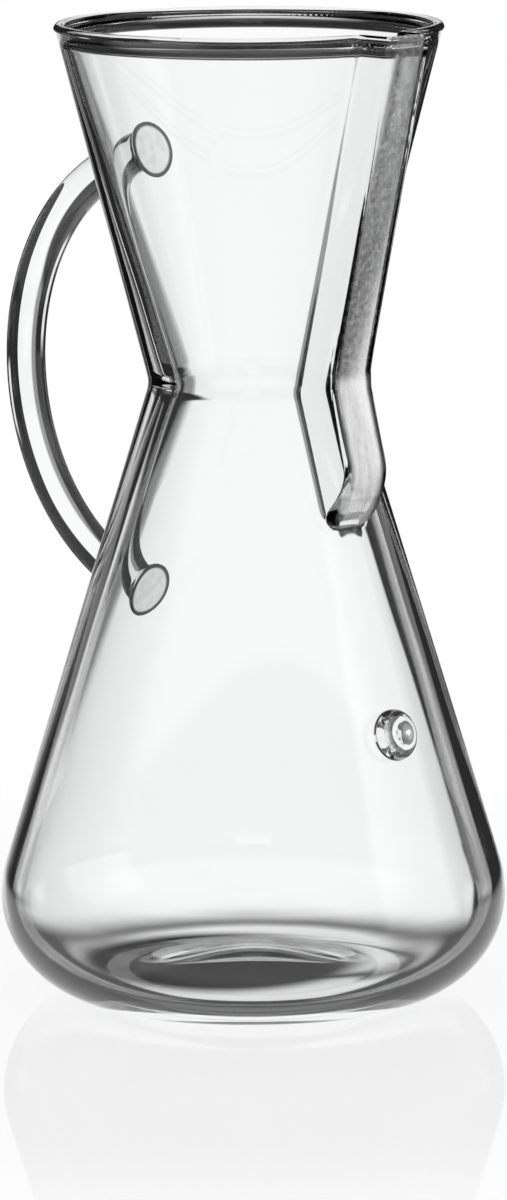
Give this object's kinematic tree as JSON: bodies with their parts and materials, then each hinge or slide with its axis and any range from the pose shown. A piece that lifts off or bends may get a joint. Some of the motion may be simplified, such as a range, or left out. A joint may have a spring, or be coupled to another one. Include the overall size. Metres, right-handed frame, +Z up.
{
  "type": "pour-over coffee maker",
  "caption": "Hourglass pour-over coffee maker in clear glass: filter funnel above a flask, hollow pouring channel at the lip, sealed glass rod handle and a level button.",
  "frame": {"origin": "on the table, under the middle of the whole object; the vessel's axis stands 11 mm towards the spout", "axes": "+Z up along the vessel's axis, +X towards the spout, the handle towards -X"},
  "size_m": [0.1314, 0.1092, 0.21],
  "materials": {
    "body_glass": "clear blown borosilicate glass, fire polished, with faint ripple",
    "rod_glass": "clear solid drawn glass rod",
    "button_glass": "clear pressed glass bead"
  },
  "bodies": {
    "root": {"glass_body": "body_glass", "handle_rod": "rod_glass", "upper_handle_seal": "rod_glass", "lower_handle_seal": "rod_glass", "level_button": "button_glass"}
  },
  "joints": []
}
